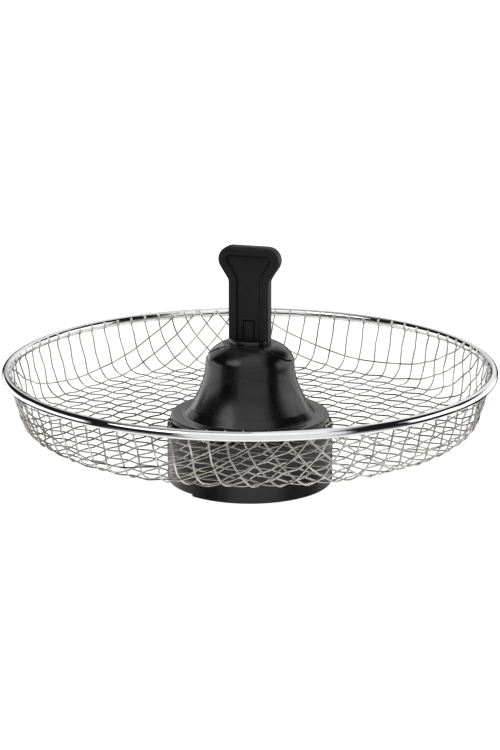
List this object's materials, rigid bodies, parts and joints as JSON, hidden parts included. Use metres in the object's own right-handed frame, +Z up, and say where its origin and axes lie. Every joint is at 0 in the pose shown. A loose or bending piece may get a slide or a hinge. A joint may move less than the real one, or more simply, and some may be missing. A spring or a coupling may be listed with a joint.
{
  "type": "fryer snack basket",
  "caption": "Shallow round basket of woven wire in a rod rim, on a hollow drum pedestal, with a domed hub and an upright lift-off handle.",
  "frame": {"origin": "centre of the pedestal's foot, on the surface it stands on", "axes": "+Z up along the hub's axis, -Y towards the side the handle's recessed face looks to"},
  "size_m": [0.26, 0.26, 0.126],
  "materials": {
    "rim_chrome": "polished",
    "basket_wire": "bright drawn wire",
    "plate_steel": "brushed",
    "screw_steel": "bright zinc",
    "pedestal_plastic": "satin",
    "hub_plastic": "satin gloss",
    "handle_plastic": "satin"
  },
  "bodies": {
    "basket": {"rim_ring": "rim_chrome", "warp_wires_left": "basket_wire", "warp_wires_middle": "basket_wire", "warp_wires_right": "basket_wire", "weft_wires_front": "basket_wire", "weft_wires_middle": "basket_wire", "weft_wires_back": "basket_wire", "pedestal": "pedestal_plastic", "lower_clamp_plate": "plate_steel", "upper_clamp_plate": "plate_steel", "hub_screws": "screw_steel", "hub_core": "hub_plastic", "hub_cap": "hub_plastic", "socket_collar": "hub_plastic", "collar_screws": "screw_steel"},
    "handle": {"handle_body": "handle_plastic"},
    "tongue": {"release_tongue": "handle_plastic"}
  },
  "joints": [
    {"name": "handle_lift", "type": "slide", "parent": "basket", "child": "handle", "axis": [0, 0, 1], "range_m": [0, 0.03]},
    {"name": "tongue_press", "type": "hinge", "parent": "handle", "child": "tongue", "pos_m": [0, -0.0017, 0.0648], "axis": [-1, 0, 0], "range_deg": [0, 5], "stiffness_Nm_per_rad": 0.2}
  ]
}
